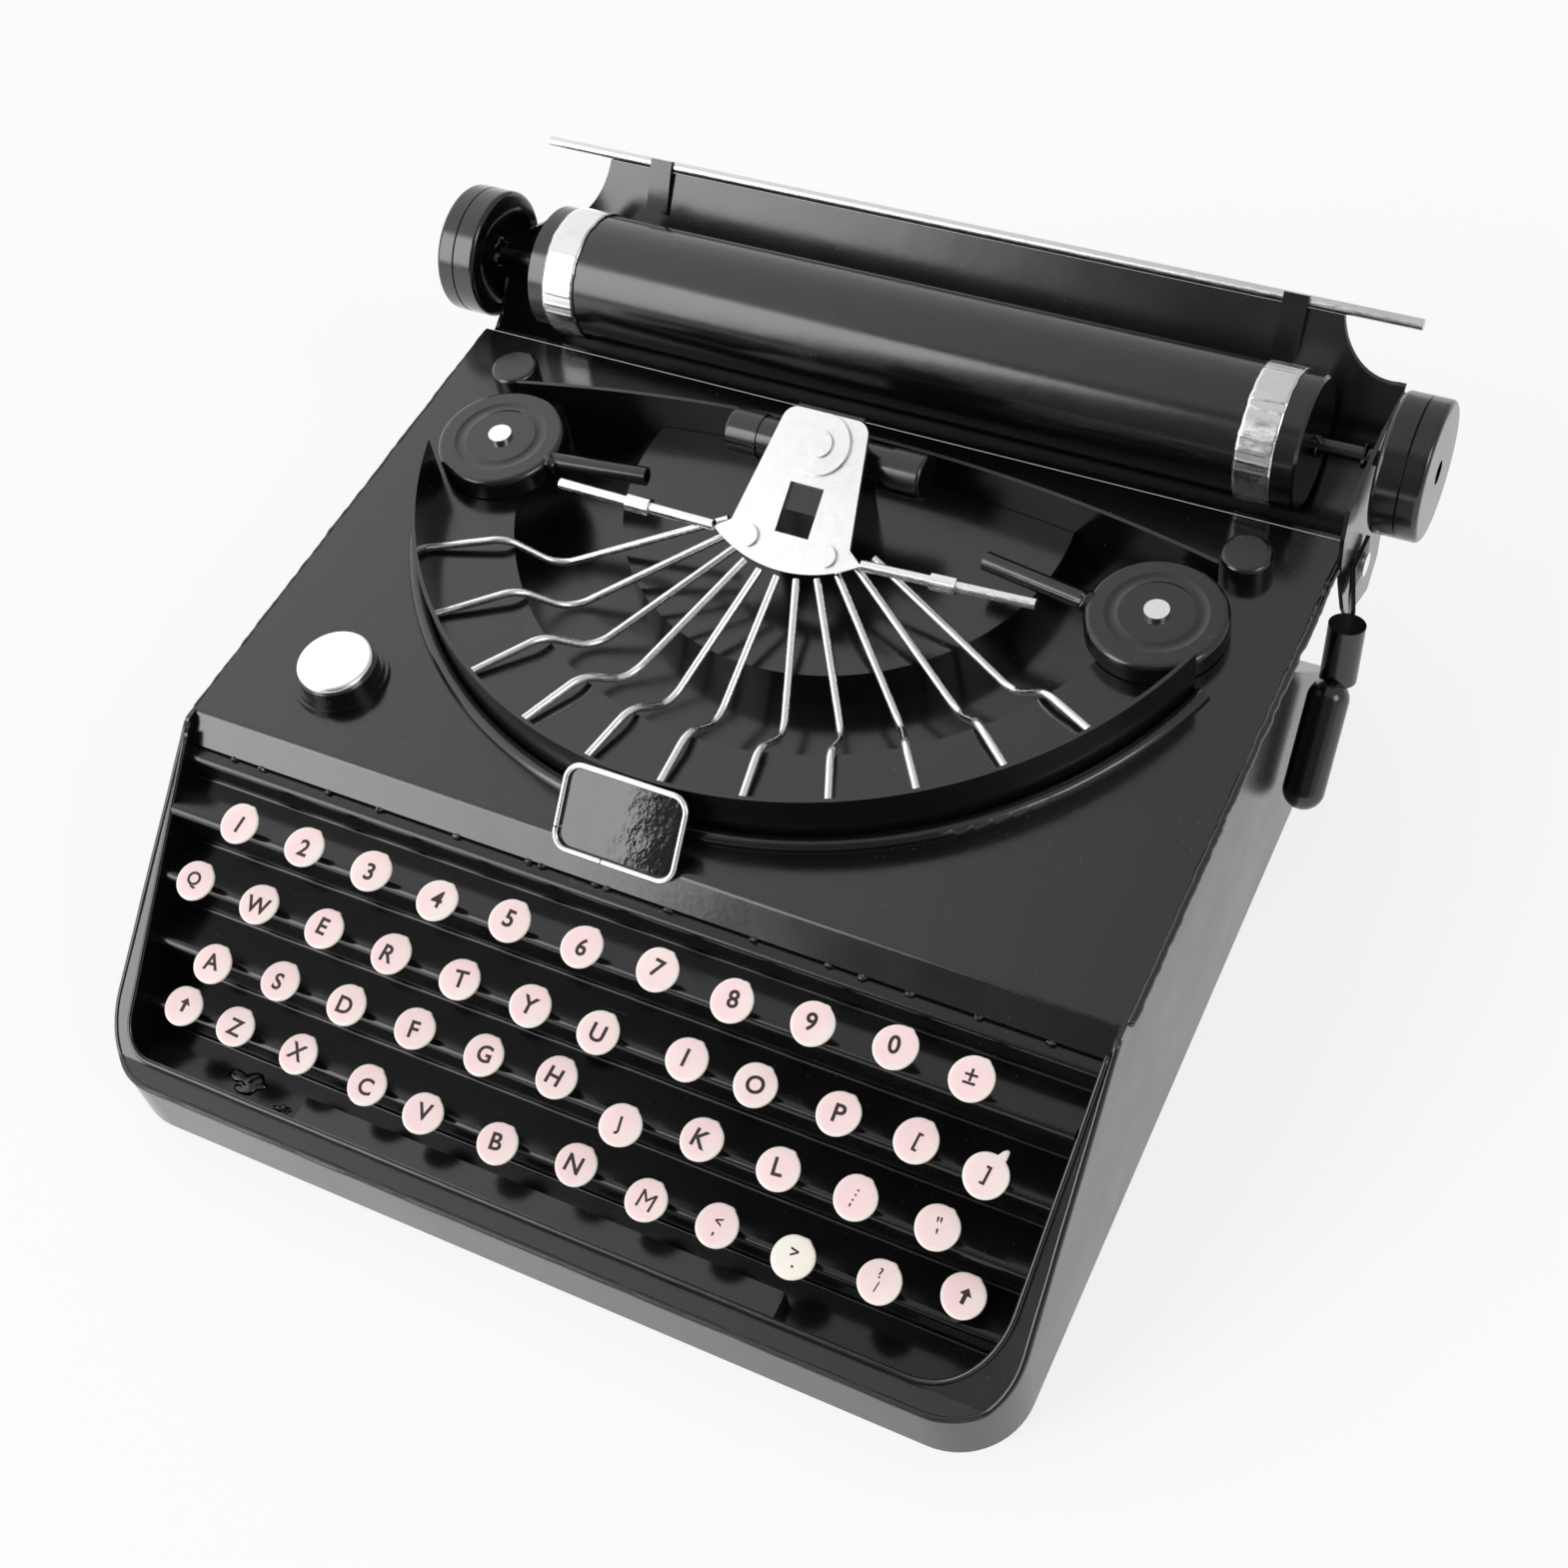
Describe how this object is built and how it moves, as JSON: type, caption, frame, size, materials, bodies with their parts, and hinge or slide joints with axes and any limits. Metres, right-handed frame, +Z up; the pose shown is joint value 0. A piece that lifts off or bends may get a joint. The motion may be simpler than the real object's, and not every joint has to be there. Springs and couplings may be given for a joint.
{
  "type": "display typewriter",
  "caption": "Desk display model of a portable typewriter in gloss black sheet metal, with a turning platen, a return lever that swings, ribbon spools and a fan of silver type bars.",
  "frame": {"origin": "centre of the underside, where the base plate rests", "axes": "+X to the typist's right, +Y to the back, towards the platen, +Z up"},
  "size_m": [0.2125, 0.2128, 0.079],
  "materials": {
    "black_lacquer": "gloss",
    "silver_metal": "satin",
    "key_enamel": "satin",
    "grip_plastic": "gloss"
  },
  "bodies": {
    "housing": {"base_plate": "black_lacquer", "left_side_panel": "black_lacquer", "right_side_panel": "black_lacquer", "front_skirt": "black_lacquer", "rim_flange": "black_lacquer", "key_well": "black_lacquer", "key_panel": "black_lacquer", "top_cover": "black_lacquer", "rear_panel": "black_lacquer", "key_stems": "black_lacquer", "space_bar": "black_lacquer", "button_collar": "black_lacquer", "deck_studs": "black_lacquer", "nameplate": "black_lacquer", "basket_rim": "black_lacquer", "rim_bead": "black_lacquer", "basket_pan": "black_lacquer", "inner_drum": "black_lacquer", "basket_rear_wall": "black_lacquer", "guide_roller": "black_lacquer", "guide_post": "black_lacquer", "carriage_trough": "black_lacquer", "left_end_plate": "black_lacquer", "right_end_plate": "black_lacquer", "rod_clips": "black_lacquer", "silver_button": "silver_metal", "nameplate_frame": "silver_metal", "type_guide": "silver_metal", "guide_rivets": "silver_metal", "left_ribbon_arm": "silver_metal", "right_ribbon_arm": "silver_metal", "pivot_rivets": "silver_metal", "paper_rest_rod": "silver_metal", "type_bar_01": "silver_metal", "type_bar_02": "silver_metal", "type_bar_03": "silver_metal", "type_bar_04": "silver_metal", "type_bar_05": "silver_metal", "type_bar_06": "silver_metal", "type_bar_07": "silver_metal", "type_bar_08": "silver_metal", "type_bar_09": "silver_metal", "type_bar_10": "silver_metal", "type_bar_11": "silver_metal", "key_tops_number_row": "key_enamel", "key_tops_upper_row": "key_enamel", "key_tops_home_row": "key_enamel", "key_tops_lower_row": "key_enamel"},
    "platen": {"platen_tube": "black_lacquer", "platen_caps": "black_lacquer", "platen_rings": "silver_metal", "platen_shaft": "silver_metal", "left_knob": "black_lacquer", "right_knob": "black_lacquer"},
    "return_lever": {"lever_arm": "black_lacquer", "lever_grips": "grip_plastic"},
    "left_ribbon": {"left_spool": "black_lacquer", "left_ribbon_tube": "black_lacquer"},
    "right_ribbon": {"right_spool": "black_lacquer", "right_ribbon_tube": "black_lacquer"}
  },
  "joints": [
    {"name": "platen_turn", "type": "hinge", "parent": "housing", "child": "platen", "pos_m": [0.0012, 0.0917, 0.0655], "axis": [1, 0, 0], "continuous": true},
    {"name": "lever_swing", "type": "hinge", "parent": "housing", "child": "return_lever", "pos_m": [0.0973, 0.083, 0.046], "axis": [1, 0, 0], "range_deg": [-35, 10]},
    {"name": "left_spool_turn", "type": "hinge", "parent": "housing", "child": "left_ribbon", "pos_m": [-0.0716, 0.0468, 0.058], "axis": [0, 0, 1], "range_deg": [-20, 24]},
    {"name": "right_spool_turn", "type": "hinge", "parent": "housing", "child": "right_ribbon", "pos_m": [0.0702, 0.0468, 0.058], "axis": [0, 0, 1], "range_deg": [-22, 22]}
  ]
}
